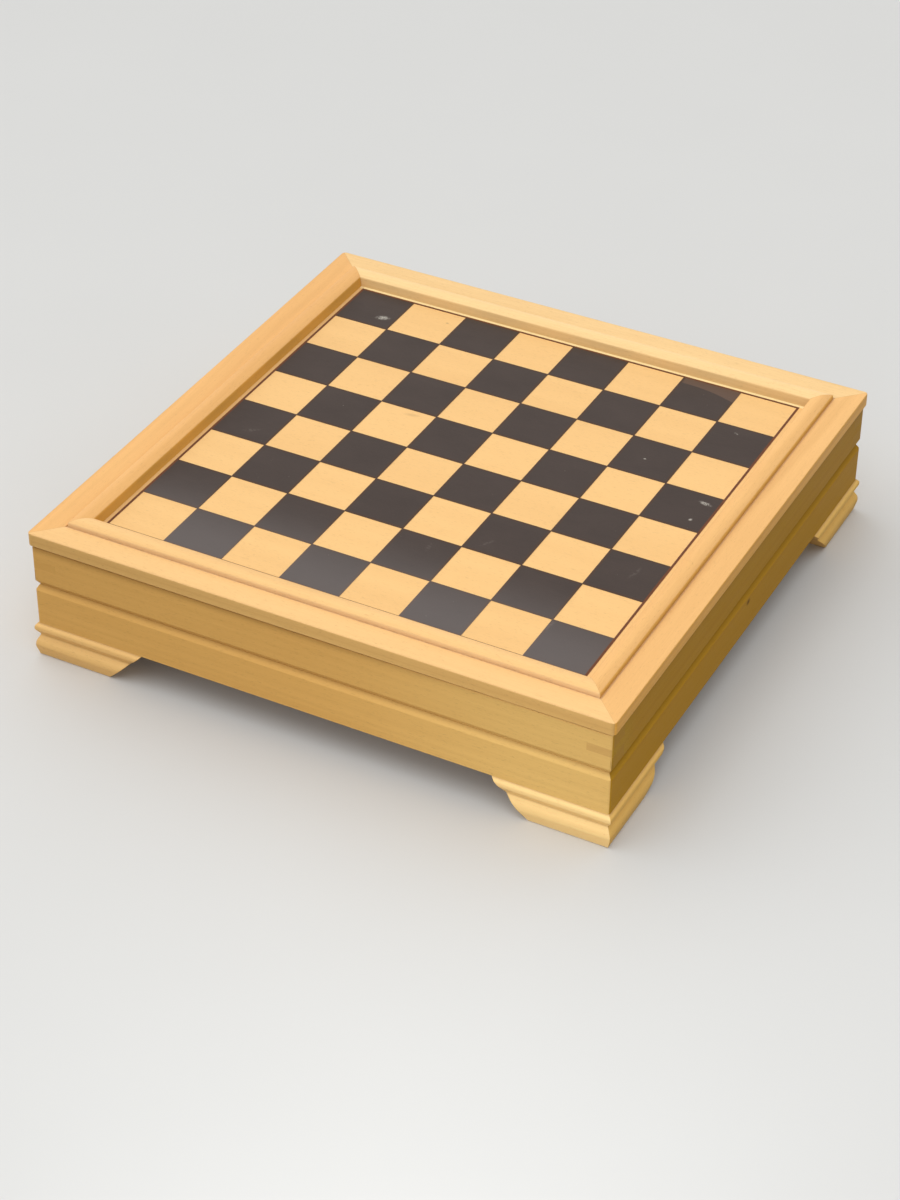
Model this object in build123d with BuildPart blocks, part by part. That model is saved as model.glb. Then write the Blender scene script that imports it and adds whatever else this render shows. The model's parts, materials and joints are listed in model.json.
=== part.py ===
"""Games compendium box: a chequered board that lifts off a finger-jointed tray,
which stands on a mitred base with four moulded bracket feet.

Frame: +X to the right along the front, +Y to the back, +Z up.
The origin is on the surface that the feet stand on, under the middle of the box.
"""
import os

from build123d import *

# ---- driving dimensions, millimetres ----------------------------------------------

# playing board
square_size = 30.0            # one square of the board
squares_per_side = 8
print_bleed = 0.2             # dark squares reach this far past their edges and so meet
print_thickness = 0.15        # paint film of the dark squares and the border line
border_line_width = 1.1       # along the inside of the field's edge
board_margin = 2.1            # bare wood from the squares to the frame
board_recess = 2.2            # playing surface below the flat of the frame

# moulded frame of the board
rail_width = 23.7
rail_edge = 6.5               # height of the frame's outer edge
panel_rebate = 5.2            # the panel runs this far under the frame
bead_width = 10.3
bead_rise = 3.0               # crown of the bead above the flat
bead_lean = 1.7               # the bead's inner face leans back this far
bead_inner_drop = 1.25        # its inner and outer corners lie below the crown
bead_outer_drop = 1.15
bead_crown_start = 4.2        # the crown, measured from the edge of the opening
bead_crown_end = 8.0
bead_inner_radius = 0.8
bead_crown_radius = 7.5
bead_outer_radius = 1.0
quirk_width = 0.8             # fine groove between the bead and the flat
quirk_depth = 0.5
rail_top_radius = 0.5
rail_bottom_radius = 0.5
rail_corner_radius = 2.5
rail_overhang = 1.2           # frame past the walls, all round

# locating battens under the board
batten_width = 10.0
batten_height = 3.0
batten_clearance = 3.0        # to the inside of the tray's walls

# walls
wall_thickness = 12.0
wall_corner_radius = 1.2
rebate_width = 4.0            # floors are glued into rebates this wide

# tray
tray_wall_height = 22.3
tray_top_bevel = 1.6
tray_bottom_bevel_in = 1.8
tray_bottom_bevel_up = 2.8
finger_height = 4.0           # through tenon of the side walls
tray_floor_thickness = 3.0
tray_divider_thickness = 4.0
tray_divider_clearance = 0.6  # dividers below the board's battens
tray_columns = 3
tray_rows = 2

# base
base_wall_height = 21.4
base_top_bevel_in = 1.8
base_top_bevel_down = 3.0
tongue_height = 2.5           # stands up inside the tray and keeps it in place
tongue_clearance = 0.3
base_floor_thickness = 3.0
base_divider_thickness = 4.0
base_columns = 2
base_rows = 2

# feet
foot_height = 18.0
foot_top_length = 56.0        # along the wall, from the corner
foot_bottom_length = 38.0
foot_thickness = 12.0
foot_bead_proud = 1.4         # bead below the wall, out from the wall's face
foot_bead_top_drop = 1.6      # heights of the bead are given down from the wall
foot_bead_bottom_drop = 3.6
foot_groove_depth = 0.6       # groove under the bead, behind the wall's face
foot_groove_drop = 6.8
foot_bulge_proud = 1.9        # corner of the swell below the groove, before it is rounded
foot_bulge_height = 6.6       # up from the floor
foot_toe_proud = 0.2          # the swell draws in again to the floor
foot_bead_top_radius = 1.6
foot_bead_bottom_radius = 1.6
foot_groove_radius = 0.6
foot_bulge_radius = 6.0
foot_corner_radius = 1.6
block_side = 14.0             # glue block inside each corner
block_lift = 1.5              # clear of the surface below
block_bevel = 6.0

# ---- sizes that follow --------------------------------------------------------------

field_side = square_size * squares_per_side
opening_side = field_side + 2 * board_margin
board_side = opening_side + 2 * rail_width
wall_side = board_side - 2 * rail_overhang
inner_side = wall_side - 2 * wall_thickness
half_board = board_side / 2
half_opening = opening_side / 2
half_wall = wall_side / 2
half_inner = inner_side / 2

base_bottom = foot_height
base_top = base_bottom + base_wall_height
base_floor_top = base_bottom + base_floor_thickness
tray_bottom = base_top
tray_top = tray_bottom + tray_wall_height
tray_rebate_top = tray_bottom + tongue_height + tongue_clearance
tray_floor_top = tray_rebate_top + tray_floor_thickness
tray_rebate_width = rebate_width + tongue_clearance
rail_bottom = tray_top
rail_flat = rail_bottom + rail_edge
bead_crown = rail_flat + bead_rise
board_top = rail_flat - board_recess
batten_bottom = rail_bottom - batten_height
tray_divider_height = batten_bottom - tray_divider_clearance - tray_floor_top
base_divider_height = base_top - base_floor_top
finger_middle = tray_bottom + tray_bottom_bevel_up + (
    tray_wall_height - tray_top_bevel - tray_bottom_bevel_up
) / 2

sides = {"right": 0, "back": 90, "left": 180, "front": 270}


def save(piece, node):
    """Label a finished piece and write it as one STEP file."""
    piece.label = node
    export_step(piece, f"parts/{node}.step")


# ---- work along one side of the box -------------------------------------------------

def outward(turn):
    """Unit vector from the middle of the box to the side at this turn."""
    return Vector(1, 0, 0).rotate(Axis.Z, turn)


def strip(turn, distance, width, length, bottom, height):
    """Straight strip along a side, with its middle line at this distance from the centre."""
    middle = outward(turn) * distance
    with BuildPart() as bar:
        with BuildSketch(Plane.XY.offset(bottom)):
            with Locations(Location((middle.X, middle.Y, 0), (0, 0, turn))):
                Rectangle(width, length)
        extrude(amount=height)
    return bar.part


def side_plane(turn):
    """Plane of a side's section: x points out of the box and y points up."""
    return Plane(origin=(0, 0, 0), x_dir=outward(turn), z_dir=outward(turn).cross(Vector(0, 0, 1)))


def mitre_plane(turn, end):
    """Upright plane through the corner at one end of a side, facing along the side."""
    return Plane(origin=(0, 0, 0), z_dir=outward(turn - end * 45))


def mitred_side(section, turn, reach, corner_radius):
    """One side of a square frame, cut to a mitre at both ends, with its corners eased."""
    with BuildPart() as side:
        with BuildSketch(side_plane(turn)):
            add(section)
        extrude(amount=reach, both=True)
        split(bisect_by=mitre_plane(turn, 1), keep=Keep.TOP)
        split(bisect_by=mitre_plane(turn, -1), keep=Keep.TOP)
        with BuildSketch(Plane.XY):
            RectangleRounded(2 * reach, 2 * reach, corner_radius)
        extrude(amount=bead_crown, mode=Mode.INTERSECT)
    return side.part


# ---- board: moulded frame -----------------------------------------------------------

quirk_inner = half_opening + bead_width
bead_inner = (half_opening + bead_lean, bead_crown - bead_inner_drop)
bead_crown_inner = (half_opening + bead_crown_start, bead_crown)
bead_crown_outer = (half_opening + bead_crown_end, bead_crown)
bead_outer = (quirk_inner, bead_crown - bead_outer_drop)
rail_upper = (half_board, rail_flat)
rail_lower = (half_board, rail_bottom)
rail_rounds = (
    (bead_inner, bead_inner_radius),
    (bead_crown_inner, bead_crown_radius),
    (bead_crown_outer, bead_crown_radius),
    (bead_outer, bead_outer_radius),
    (rail_upper, rail_top_radius),
    (rail_lower, rail_bottom_radius),
)


def rounded_section(corners, rounds):
    """Closed section through these corners, with some of them rounded."""
    with BuildSketch() as section:
        with BuildLine():
            Polyline(*corners, close=True)
        make_face()
        for corner, radius in rounds:
            sharp = section.vertices().sort_by_distance(Vector(*corner))[0]
            fillet(sharp, radius)
    return section.sketch


rail_section = rounded_section(
    (
        rail_lower,
        (half_opening + panel_rebate, rail_bottom),
        (half_opening + panel_rebate, board_top),
        (half_opening, board_top),
        bead_inner,
        bead_crown_inner,
        bead_crown_outer,
        bead_outer,
        (quirk_inner, rail_flat - quirk_depth),
        (quirk_inner + quirk_width, rail_flat - quirk_depth),
        (quirk_inner + quirk_width, rail_flat),
        rail_upper,
    ),
    rail_rounds,
)

# ---- board: panel and printing ------------------------------------------------------

panel_side = opening_side + 2 * panel_rebate

with BuildPart() as board_panel:
    with BuildSketch(Plane.XY.offset(rail_bottom)):
        Rectangle(panel_side, panel_side)
    extrude(amount=board_top - rail_bottom)

pair_pitch = 2 * square_size
pairs_per_side = squares_per_side // 2
dark_side = square_size + 2 * print_bleed
line_outside = field_side + 2 * print_bleed
line_inside = line_outside - 2 * border_line_width

with BuildPart() as dark_squares:
    with BuildSketch(Plane.XY.offset(board_top)):
        for shift in (square_size / 2, -square_size / 2):
            with Locations((shift, -shift)):
                with GridLocations(pair_pitch, pair_pitch, pairs_per_side, pairs_per_side):
                    Rectangle(dark_side, dark_side)
        Rectangle(line_inside, line_inside, mode=Mode.INTERSECT)
    extrude(amount=print_thickness)

with BuildPart() as border_line:
    with BuildSketch(Plane.XY.offset(board_top)):
        Rectangle(line_outside, line_outside)
        Rectangle(line_inside, line_inside, mode=Mode.SUBTRACT)
    extrude(amount=print_thickness)

# ---- board: battens -----------------------------------------------------------------

half_batten_ring = half_inner - batten_clearance
batten_lengths = {
    "front": 2 * half_batten_ring,
    "back": 2 * half_batten_ring,
    "left": 2 * (half_batten_ring - batten_width),
    "right": 2 * (half_batten_ring - batten_width),
}


def batten(side_name):
    """Strip under the board that drops inside one wall of the tray."""
    distance = half_batten_ring - batten_width / 2
    length = batten_lengths[side_name]
    return strip(sides[side_name], distance, batten_width, length, batten_bottom, batten_height)


# ---- tray: finger-jointed walls -----------------------------------------------------

with BuildSketch() as tray_wall_section:
    with BuildLine():
        Polyline(
            (half_wall - tray_bottom_bevel_in, tray_bottom),
            (half_wall, tray_bottom + tray_bottom_bevel_up),
            (half_wall, tray_top - tray_top_bevel),
            (half_wall - tray_top_bevel, tray_top),
            (half_inner, tray_top),
            (half_inner, tray_floor_top),
            (half_inner + tray_rebate_width, tray_floor_top),
            (half_inner + tray_rebate_width, tray_bottom),
            close=True,
        )
    make_face()

wall_pitch = wall_side - wall_thickness

# all four walls in one, before the corners are divided
with BuildPart() as tray_ring:
    for side_turn in sides.values():
        add(mitred_side(tray_wall_section.sketch, side_turn, half_wall, wall_corner_radius))

with BuildPart() as tray_fingers:
    with BuildSketch(Plane.XY.offset(finger_middle - finger_height / 2)):
        with GridLocations(wall_pitch, wall_pitch, 2, 2):
            Rectangle(wall_thickness, wall_thickness)
    extrude(amount=finger_height)


def tray_wall(side_name):
    """One tray wall: the sides carry the tenons, the front and back are notched for them."""
    turn = sides[side_name]
    distance = wall_pitch / 2
    if side_name in ("left", "right"):
        length, finger_mode = inner_side, Mode.ADD
    else:
        length, finger_mode = wall_side, Mode.SUBTRACT
    whole = strip(turn, distance, wall_thickness, wall_side, tray_bottom, tray_wall_height)
    with BuildPart() as wall:
        add(strip(turn, distance, wall_thickness, length, tray_bottom, tray_wall_height))
        add(tray_fingers.part, mode=finger_mode)
        add(whole, mode=Mode.INTERSECT)
        add(tray_ring.part, mode=Mode.INTERSECT)
    return wall.part


tray_floor_side = inner_side + 2 * tray_rebate_width

with BuildPart() as tray_floor:
    with BuildSketch(Plane.XY.offset(tray_rebate_top)):
        Rectangle(tray_floor_side, tray_floor_side)
    extrude(amount=tray_floor_thickness)

# ---- base: mitred walls and floor ---------------------------------------------------

with BuildSketch() as base_wall_section:
    with BuildLine():
        Polyline(
            (half_wall, base_bottom),
            (half_wall, base_top - base_top_bevel_down),
            (half_wall - base_top_bevel_in, base_top),
            (half_inner + rebate_width, base_top),
            (half_inner + rebate_width, base_top + tongue_height),
            (half_inner, base_top + tongue_height),
            (half_inner, base_floor_top),
            (half_inner + rebate_width, base_floor_top),
            (half_inner + rebate_width, base_bottom),
            close=True,
        )
    make_face()

base_floor_side = inner_side + 2 * rebate_width

with BuildPart() as base_floor:
    with BuildSketch(Plane.XY.offset(base_bottom)):
        Rectangle(base_floor_side, base_floor_side)
    extrude(amount=base_floor_thickness)


# ---- dividers, halved into each other -----------------------------------------------

def divider_places(count):
    """Where the dividers stand that part the inside into this many equal widths."""
    return [inner_side * (i + 1) / count - half_inner for i in range(count - 1)]


def divider(turn, place, crossings, floor_top, height, thickness, notch_low):
    """Upright strip from wall to wall, along X at turn 0 or Y at turn 90, halved at crossings."""
    notch_bottom = floor_top if notch_low else floor_top + height / 2
    with BuildPart() as board:
        with BuildSketch(Plane.XY.offset(floor_top)):
            with Locations(Location((0, 0, 0), (0, 0, turn))):
                with Locations((0, place)):
                    Rectangle(inner_side, thickness)
        extrude(amount=height)
        with BuildSketch(Plane.XY.offset(notch_bottom)):
            with Locations(Location((0, 0, 0), (0, 0, turn))):
                with Locations(*[(crossing, place) for crossing in crossings]):
                    Rectangle(thickness, thickness)
        extrude(amount=height / 2, mode=Mode.SUBTRACT)
    return board.part


def save_dividers(tier, columns, rows, floor_top, height, thickness):
    """Write the long dividers, notched from above, and the cross ones, from below."""
    cross_x = divider_places(columns)
    long_y = divider_places(rows)
    for number, y in enumerate(long_y, start=1):
        piece = divider(0, y, cross_x, floor_top, height, thickness, notch_low=False)
        save(piece, f"{tier}_divider_long_{number}")
    for number, x in enumerate(cross_x, start=1):
        piece = divider(90, -x, long_y, floor_top, height, thickness, notch_low=True)
        save(piece, f"{tier}_divider_cross_{number}")


# ---- feet ---------------------------------------------------------------------------

foot_top = base_bottom
foot_inner = half_wall - foot_thickness
foot_bead_upper = (half_wall + foot_bead_proud, foot_top - foot_bead_top_drop)
foot_bead_lower = (half_wall + foot_bead_proud, foot_top - foot_bead_bottom_drop)
foot_groove = (half_wall - foot_groove_depth, foot_top - foot_groove_drop)
foot_bulge = (half_wall + foot_bulge_proud, foot_bulge_height)

foot_section = rounded_section(
    (
        (half_wall, foot_top),
        foot_bead_upper,
        foot_bead_lower,
        foot_groove,
        foot_bulge,
        (half_wall + foot_toe_proud, 0),
        (foot_inner, 0),
        (foot_inner, foot_top),
    ),
    (
        (foot_bead_upper, foot_bead_top_radius),
        (foot_bead_lower, foot_bead_bottom_radius),
        (foot_groove, foot_groove_radius),
        (foot_bulge, foot_bulge_radius),
    ),
)


def foot_bracket(turn, end):
    """Half of a corner foot: mitred at the corner, cut on a slant at its other end."""
    top_end = half_wall - foot_top_length
    bottom_end = half_wall - foot_bottom_length
    along = outward(turn - end * 90)
    rise = Vector(0, 0, foot_height) + along * (top_end - bottom_end)
    slant = Plane(
        origin=along * bottom_end,
        x_dir=outward(turn),
        z_dir=outward(turn).cross(rise) * end,
    )
    reach = half_wall + foot_bulge_proud
    with BuildPart() as bracket:
        add(mitred_side(foot_section, turn, reach, foot_corner_radius))
        split(bisect_by=slant, keep=Keep.TOP)
    return bracket.part


def corner_block(sign_x, sign_y):
    """Glue block that ties the two brackets of a foot to the floor of the base."""
    middle = foot_inner - block_side / 2
    with BuildPart() as block:
        with BuildSketch(Plane.XY.offset(block_lift)):
            with Locations((sign_x * middle, sign_y * middle)):
                Rectangle(block_side, block_side)
        extrude(amount=base_bottom - block_lift)
        inner_edge = block.edges().filter_by(Axis.Z).sort_by(
            lambda edge: abs(edge.center().X) + abs(edge.center().Y)
        )[0]
        chamfer(inner_edge, length=block_bevel)
    return block.part


# ---- write every piece --------------------------------------------------------------

os.makedirs("parts", exist_ok=True)

for side_name, side_turn in sides.items():
    save(
        mitred_side(rail_section, side_turn, half_board, rail_corner_radius),
        f"board_rail_{side_name}",
    )
    save(batten(side_name), f"board_batten_{side_name}")
    save(tray_wall(side_name), f"tray_wall_{side_name}")
    save(
        mitred_side(base_wall_section.sketch, side_turn, half_wall, wall_corner_radius),
        f"base_wall_{side_name}",
    )

save(board_panel.part, "board_panel")
save(dark_squares.part, "dark_squares")
save(border_line.part, "border_line")
save(tray_floor.part, "tray_floor")
save(base_floor.part, "base_floor")

save_dividers(
    "tray",
    tray_columns,
    tray_rows,
    tray_floor_top,
    tray_divider_height,
    tray_divider_thickness,
)
save_dividers(
    "base",
    base_columns,
    base_rows,
    base_floor_top,
    base_divider_height,
    base_divider_thickness,
)

feet = {
    "front_left": (("front", -1), ("left", 1)),
    "front_right": (("front", 1), ("right", -1)),
    "back_right": (("back", -1), ("right", 1)),
    "back_left": (("back", 1), ("left", -1)),
}
for corner, brackets in feet.items():
    for side_name, end in brackets:
        save(foot_bracket(sides[side_name], end), f"foot_{corner}_{side_name}")
    save(
        corner_block(1 if "right" in corner else -1, 1 if "back" in corner else -1),
        f"corner_block_{corner}",
    )
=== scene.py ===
"""Games compendium box: a chequered board on a finger-jointed tray and a footed base.

Every rail, wall and foot gets eased edges and its own piece of timber, the squares get
their paint and wear, and a plain pale stage goes round them.
Metres throughout, +X right along the front, +Y to the back, +Z up.
"""

import json
import math

import bmesh
import bpy
from bpy.props import FloatProperty, FloatVectorProperty, PointerProperty
from mathutils import Euler, Matrix, Vector

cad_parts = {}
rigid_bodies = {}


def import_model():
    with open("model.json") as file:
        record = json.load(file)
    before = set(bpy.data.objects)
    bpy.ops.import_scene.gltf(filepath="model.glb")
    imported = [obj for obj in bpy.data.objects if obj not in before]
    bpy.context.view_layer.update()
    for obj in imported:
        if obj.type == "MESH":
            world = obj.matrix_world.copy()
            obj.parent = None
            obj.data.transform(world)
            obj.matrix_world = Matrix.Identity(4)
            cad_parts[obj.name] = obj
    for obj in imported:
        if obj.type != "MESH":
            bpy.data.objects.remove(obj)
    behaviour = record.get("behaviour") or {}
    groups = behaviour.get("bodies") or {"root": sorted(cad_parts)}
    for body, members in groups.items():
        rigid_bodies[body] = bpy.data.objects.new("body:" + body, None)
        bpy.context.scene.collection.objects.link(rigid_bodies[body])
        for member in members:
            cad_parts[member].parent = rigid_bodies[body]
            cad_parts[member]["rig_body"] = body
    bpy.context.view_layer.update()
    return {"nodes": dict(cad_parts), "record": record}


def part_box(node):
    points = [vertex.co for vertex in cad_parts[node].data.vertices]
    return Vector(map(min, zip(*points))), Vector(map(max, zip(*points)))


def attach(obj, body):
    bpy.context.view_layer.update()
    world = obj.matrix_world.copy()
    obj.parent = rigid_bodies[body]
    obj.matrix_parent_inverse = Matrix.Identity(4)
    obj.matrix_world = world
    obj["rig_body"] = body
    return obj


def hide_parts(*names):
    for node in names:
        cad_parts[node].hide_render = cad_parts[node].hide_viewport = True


bl_info = {
    "name": "Games compendium box",
    "version": (1, 0, 0),
    "blender": (4, 5, 0),
    "location": "3D View > Sidebar > Compendium",
    "description": "Dresses a footed games box with a chequered board",
    "category": "Object",
}

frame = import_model()

MM = 0.001
SIDES = ("front", "right", "back", "left")
GRAIN_OF_SIDE = {"front": "X", "back": "X", "left": "Y", "right": "Y"}
# the bar of a side begins at the corner of the same number and ends at the next corner
CORNERS = ("front_left", "front_right", "back_right", "back_left")
AXIS_NUMBER = {"X": 0, "Y": 1, "Z": 2}
TURN_OF_SIDE = {"right": 0, "back": 90, "left": 180, "front": 270}
# how close counts as the same point, as on a plane, and as inside a joint
TOUCH = 0.001 * MM
ON_PLANE = 0.01 * MM
IN_JOINT = 0.05 * MM

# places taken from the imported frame
HALF_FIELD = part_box("border_line")[1].x
SQUARE = round(HALF_FIELD / 4, 3)
HALF_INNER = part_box("tray_divider_long_1")[1].x
HALF_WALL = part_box("base_wall_right")[1].x
HALF_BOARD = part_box("board_rail_right")[1].x
HALF_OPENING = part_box("board_rail_right")[0].x
PANEL_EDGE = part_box("board_panel")[1].x
BOARD_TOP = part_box("board_panel")[1].z
RAIL_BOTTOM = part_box("board_rail_right")[0].z
FOOT_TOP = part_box("foot_front_left_front")[1].z
TRAY_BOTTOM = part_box("tray_wall_front")[0].z

# moulding of the board's frame: an eased bead round the opening, a quirk and a flat
RAIL_FLAT = BOARD_TOP + 2.2 * MM
BEAD_CROWN = RAIL_FLAT + 3.0 * MM
BEAD_LEAN = 1.7 * MM
BEAD_INNER_DROP = 1.25 * MM
BEAD_OUTER_DROP = 1.15 * MM
CROWN_START = HALF_OPENING + 4.2 * MM
CROWN_END = HALF_OPENING + 8.0 * MM
QUIRK_START = HALF_OPENING + 10.3 * MM
QUIRK_END = QUIRK_START + 0.8 * MM
QUIRK_BOTTOM = RAIL_FLAT - 0.5 * MM
RAIL_SECTION = (
    (HALF_BOARD, RAIL_BOTTOM),
    (PANEL_EDGE, RAIL_BOTTOM),
    (PANEL_EDGE, BOARD_TOP),
    (HALF_OPENING, BOARD_TOP),
    (HALF_OPENING + BEAD_LEAN, BEAD_CROWN - BEAD_INNER_DROP),
    (CROWN_START, BEAD_CROWN),
    (CROWN_END, BEAD_CROWN),
    (QUIRK_START, BEAD_CROWN - BEAD_OUTER_DROP),
    (QUIRK_START, QUIRK_BOTTOM),
    (QUIRK_END, QUIRK_BOTTOM),
    (QUIRK_END, RAIL_FLAT),
    (HALF_BOARD, RAIL_FLAT),
)
ARRIS_RADIUS = 0.5 * MM
CROWN_RADIUS = 7.5 * MM
# rounds: number of the corner, radius and segments
RAIL_ROUNDS = (
    (0, ARRIS_RADIUS, 5),
    (4, 0.8 * MM, 6),
    (5, CROWN_RADIUS, 6),
    (6, CROWN_RADIUS, 6),
    (7, 1.0 * MM, 6),
    (11, ARRIS_RADIUS, 5),
)
RAIL_CORNER = 2.5 * MM

# the base's walls: a bevelled top edge, a tongue for the tray and a rebate for the floor
TONGUE_OUTER = HALF_INNER + 4.0 * MM
TONGUE_TOP = TRAY_BOTTOM + 2.5 * MM
REBATE_TOP = FOOT_TOP + 3.0 * MM
BEVEL_DROP = 3.0 * MM
BEVEL_WIDTH = 1.8 * MM
BASE_SECTION = (
    (HALF_WALL, FOOT_TOP),
    (HALF_WALL, TRAY_BOTTOM - BEVEL_DROP),
    (HALF_WALL - BEVEL_WIDTH, TRAY_BOTTOM),
    (TONGUE_OUTER, TRAY_BOTTOM),
    (TONGUE_OUTER, TONGUE_TOP),
    (HALF_INNER, TONGUE_TOP),
    (HALF_INNER, REBATE_TOP),
    (TONGUE_OUTER, REBATE_TOP),
    (TONGUE_OUTER, FOOT_TOP),
)
BASE_ROUNDS = (
    (0, 0.12 * MM, 5),
    (1, 1.2 * MM, 3),
    (2, 0.8 * MM, 3),
)

# moulding of the feet: a bead, a groove and a swell
FOOT_BEAD = HALF_WALL + 1.4 * MM
FOOT_BEAD_RADIUS = 1.6 * MM
FOOT_BULGE = HALF_WALL + 1.9 * MM
FOOT_BULGE_HEIGHT = 6.6 * MM
FOOT_GROOVE = FOOT_TOP - 6.8 * MM
FOOT_GROOVE_DEPTH = 0.6 * MM
FOOT_TOE = HALF_WALL + 0.2 * MM
FOOT_BACK = HALF_WALL - 12.0 * MM
FOOT_SECTION = (
    (HALF_WALL, FOOT_TOP),
    (FOOT_BEAD, FOOT_TOP - 1.6 * MM),
    (FOOT_BEAD, FOOT_TOP - 3.6 * MM),
    (HALF_WALL - FOOT_GROOVE_DEPTH, FOOT_GROOVE),
    (FOOT_BULGE, FOOT_BULGE_HEIGHT),
    (FOOT_TOE, 0.0),
    (FOOT_BACK, 0.0),
    (FOOT_BACK, FOOT_TOP),
)
FOOT_ROUNDS = (
    (1, FOOT_BEAD_RADIUS, 5),
    (2, FOOT_BEAD_RADIUS, 5),
    (3, 0.6 * MM, 5),
    (4, 6.0 * MM, 7),
)
FOOT_CORNER = 1.6 * MM
FOOT_TOP_LENGTH = 56.0 * MM
FOOT_BOTTOM_LENGTH = 38.0 * MM

# through tenon of the tray's side walls
TRAY_LOWER_BEVEL = 2.8 * MM
TRAY_UPPER_BEVEL = 1.6 * MM
TENON_HEIGHT = 4.0 * MM
TENON_MIDDLE = (TRAY_BOTTOM + TRAY_LOWER_BEVEL + RAIL_BOTTOM - TRAY_UPPER_BEVEL) / 2

# rounded upright corners are cut by planes at these angles, in degrees
CORNER_CUTS = (15, 30, 45)
WALL_CORNER = 1.2 * MM
# what the mitre cuts take off each end of a bar
BAR_SPARE = 5.0 * MM

# edges are eased past the first angle, shading breaks past the second, and faces that
# meet at less than the third are one flat face
EASED_ANGLE = math.radians(24)
SHARP_ANGLE = math.radians(40)
FLAT_ANGLE = math.radians(0.3)
EASING_SEGMENTS = 3


def display(red, green, blue):
    """Linear colour of an 8-bit display colour."""
    shares = [channel / 255 for channel in (red, green, blue)]
    return tuple(s / 12.92 if s <= 0.04045 else ((s + 0.055) / 1.055) ** 2.4 for s in shares)


# ---- sizes and colours that a user would change ---------------------------------------

# what every colour setting shares
COLOUR = {"size": 3, "min": 0, "max": 1, "subtype": "COLOR"}


class CompendiumEdges(bpy.types.PropertyGroup):
    """How far each kind of edge is eased."""

    rail: FloatProperty(
        name="Rail edges",
        description="Width of the eased edges of the board's frame",
        default=0.30 * MM,
        unit="LENGTH",
        precision=5,
    )
    case: FloatProperty(
        name="Wall edges",
        description="Width of the eased edges of the walls",
        default=0.30 * MM,
        unit="LENGTH",
        precision=5,
    )
    foot: FloatProperty(
        name="Foot edges",
        description="Width of the eased edges of the bracket feet",
        default=0.40 * MM,
        unit="LENGTH",
        precision=5,
    )
    joint: FloatProperty(
        name="Joint edges",
        description="Width of the fine groove where two pieces are glued together",
        default=0.06 * MM,
        unit="LENGTH",
        precision=5,
    )
    inside: FloatProperty(
        name="Inside edges",
        description="Width of the eased edges of battens, dividers and glue blocks",
        default=0.35 * MM,
        unit="LENGTH",
        precision=5,
    )


class CompendiumTimber(bpy.types.PropertyGroup):
    """Colours of the lacquered timber."""

    rail: FloatVectorProperty(
        name="Rails",
        description="Pale wood of the board's moulded frame",
        default=display(243, 199, 136),
        **COLOUR,
    )
    panel: FloatVectorProperty(
        name="Light squares",
        description="Pale wood of the board's panel",
        default=display(244, 198, 130),
        **COLOUR,
    )
    wall: FloatVectorProperty(
        name="Walls",
        description="Wood of the tray and the base",
        default=display(222, 177, 103),
        **COLOUR,
    )
    foot: FloatVectorProperty(
        name="Feet",
        description="Paler wood of the bracket feet",
        default=display(249, 205, 134),
        **COLOUR,
    )
    inside: FloatVectorProperty(
        name="Inside",
        description="Bare wood of dividers, battens and glue blocks",
        default=display(228, 190, 134),
        **COLOUR,
    )
    floor_veneer: FloatVectorProperty(
        name="Floors",
        description="Face veneer of the thin plywood floors",
        default=display(222, 182, 126),
        **COLOUR,
    )


class CompendiumPaint(bpy.types.PropertyGroup):
    """Colours of the painted squares and the line round them."""

    square: FloatVectorProperty(
        name="Dark squares",
        description="Near-black brown paint",
        default=display(66, 53, 47),
        **COLOUR,
    )
    rim: FloatVectorProperty(
        name="Thin paint",
        description="Browner paint along the edges of the squares and where it has worn",
        default=display(76, 52, 36),
        **COLOUR,
    )
    line: FloatVectorProperty(
        name="Border line",
        description="Brown line round the playing field",
        default=display(108, 64, 40),
        **COLOUR,
    )


class CompendiumStudio(bpy.types.PropertyGroup):
    """Floor, light and camera."""

    floor_colour: FloatVectorProperty(
        name="Floor",
        description="Pale floor",
        default=display(212, 212, 210),
        **COLOUR,
    )
    lamp_power: FloatProperty(
        name="Softbox power",
        description="Power of the softbox in watts",
        default=13.0,
        min=0,
    )
    lamp_side: FloatProperty(
        name="Softbox side",
        description="Side of the square softbox",
        default=1.8,
        unit="LENGTH",
    )
    even_light: FloatProperty(
        name="Even light",
        description="Room light that is the same from all round",
        default=0.24,
        min=0,
    )
    overhead_light: FloatProperty(
        name="Overhead light",
        description="Room light from straight above, fading towards the horizon",
        default=0.56,
        min=0,
    )
    left_light: FloatProperty(
        name="Light from the left",
        description="Room light from the left, fading towards the middle",
        default=1.05,
        min=0,
    )
    back_light: FloatProperty(
        name="Light from the back",
        description="Room light from the back, fading towards the middle",
        default=0.38,
        min=0,
    )
    fill_power: FloatProperty(
        name="Fill power",
        description="Power of the small low lamp in front of the near corner, in watts",
        default=0.18,
        min=0,
    )
    lens: FloatProperty(
        name="Lens",
        description="Focal length of the camera on a 36 mm sensor",
        default=85.575 * MM,
        unit="LENGTH",
        precision=5,
    )


class CompendiumSettings(bpy.types.PropertyGroup):
    """All settings of the compendium."""

    edges: PointerProperty(name="Edges", description="Eased edges", type=CompendiumEdges)
    timber: PointerProperty(name="Timber", description="Wood colours", type=CompendiumTimber)
    paint: PointerProperty(name="Paint", description="Paint colours", type=CompendiumPaint)
    studio: PointerProperty(name="Studio", description="Stage and camera", type=CompendiumStudio)


# ---- shader building --------------------------------------------------------------------


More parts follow.
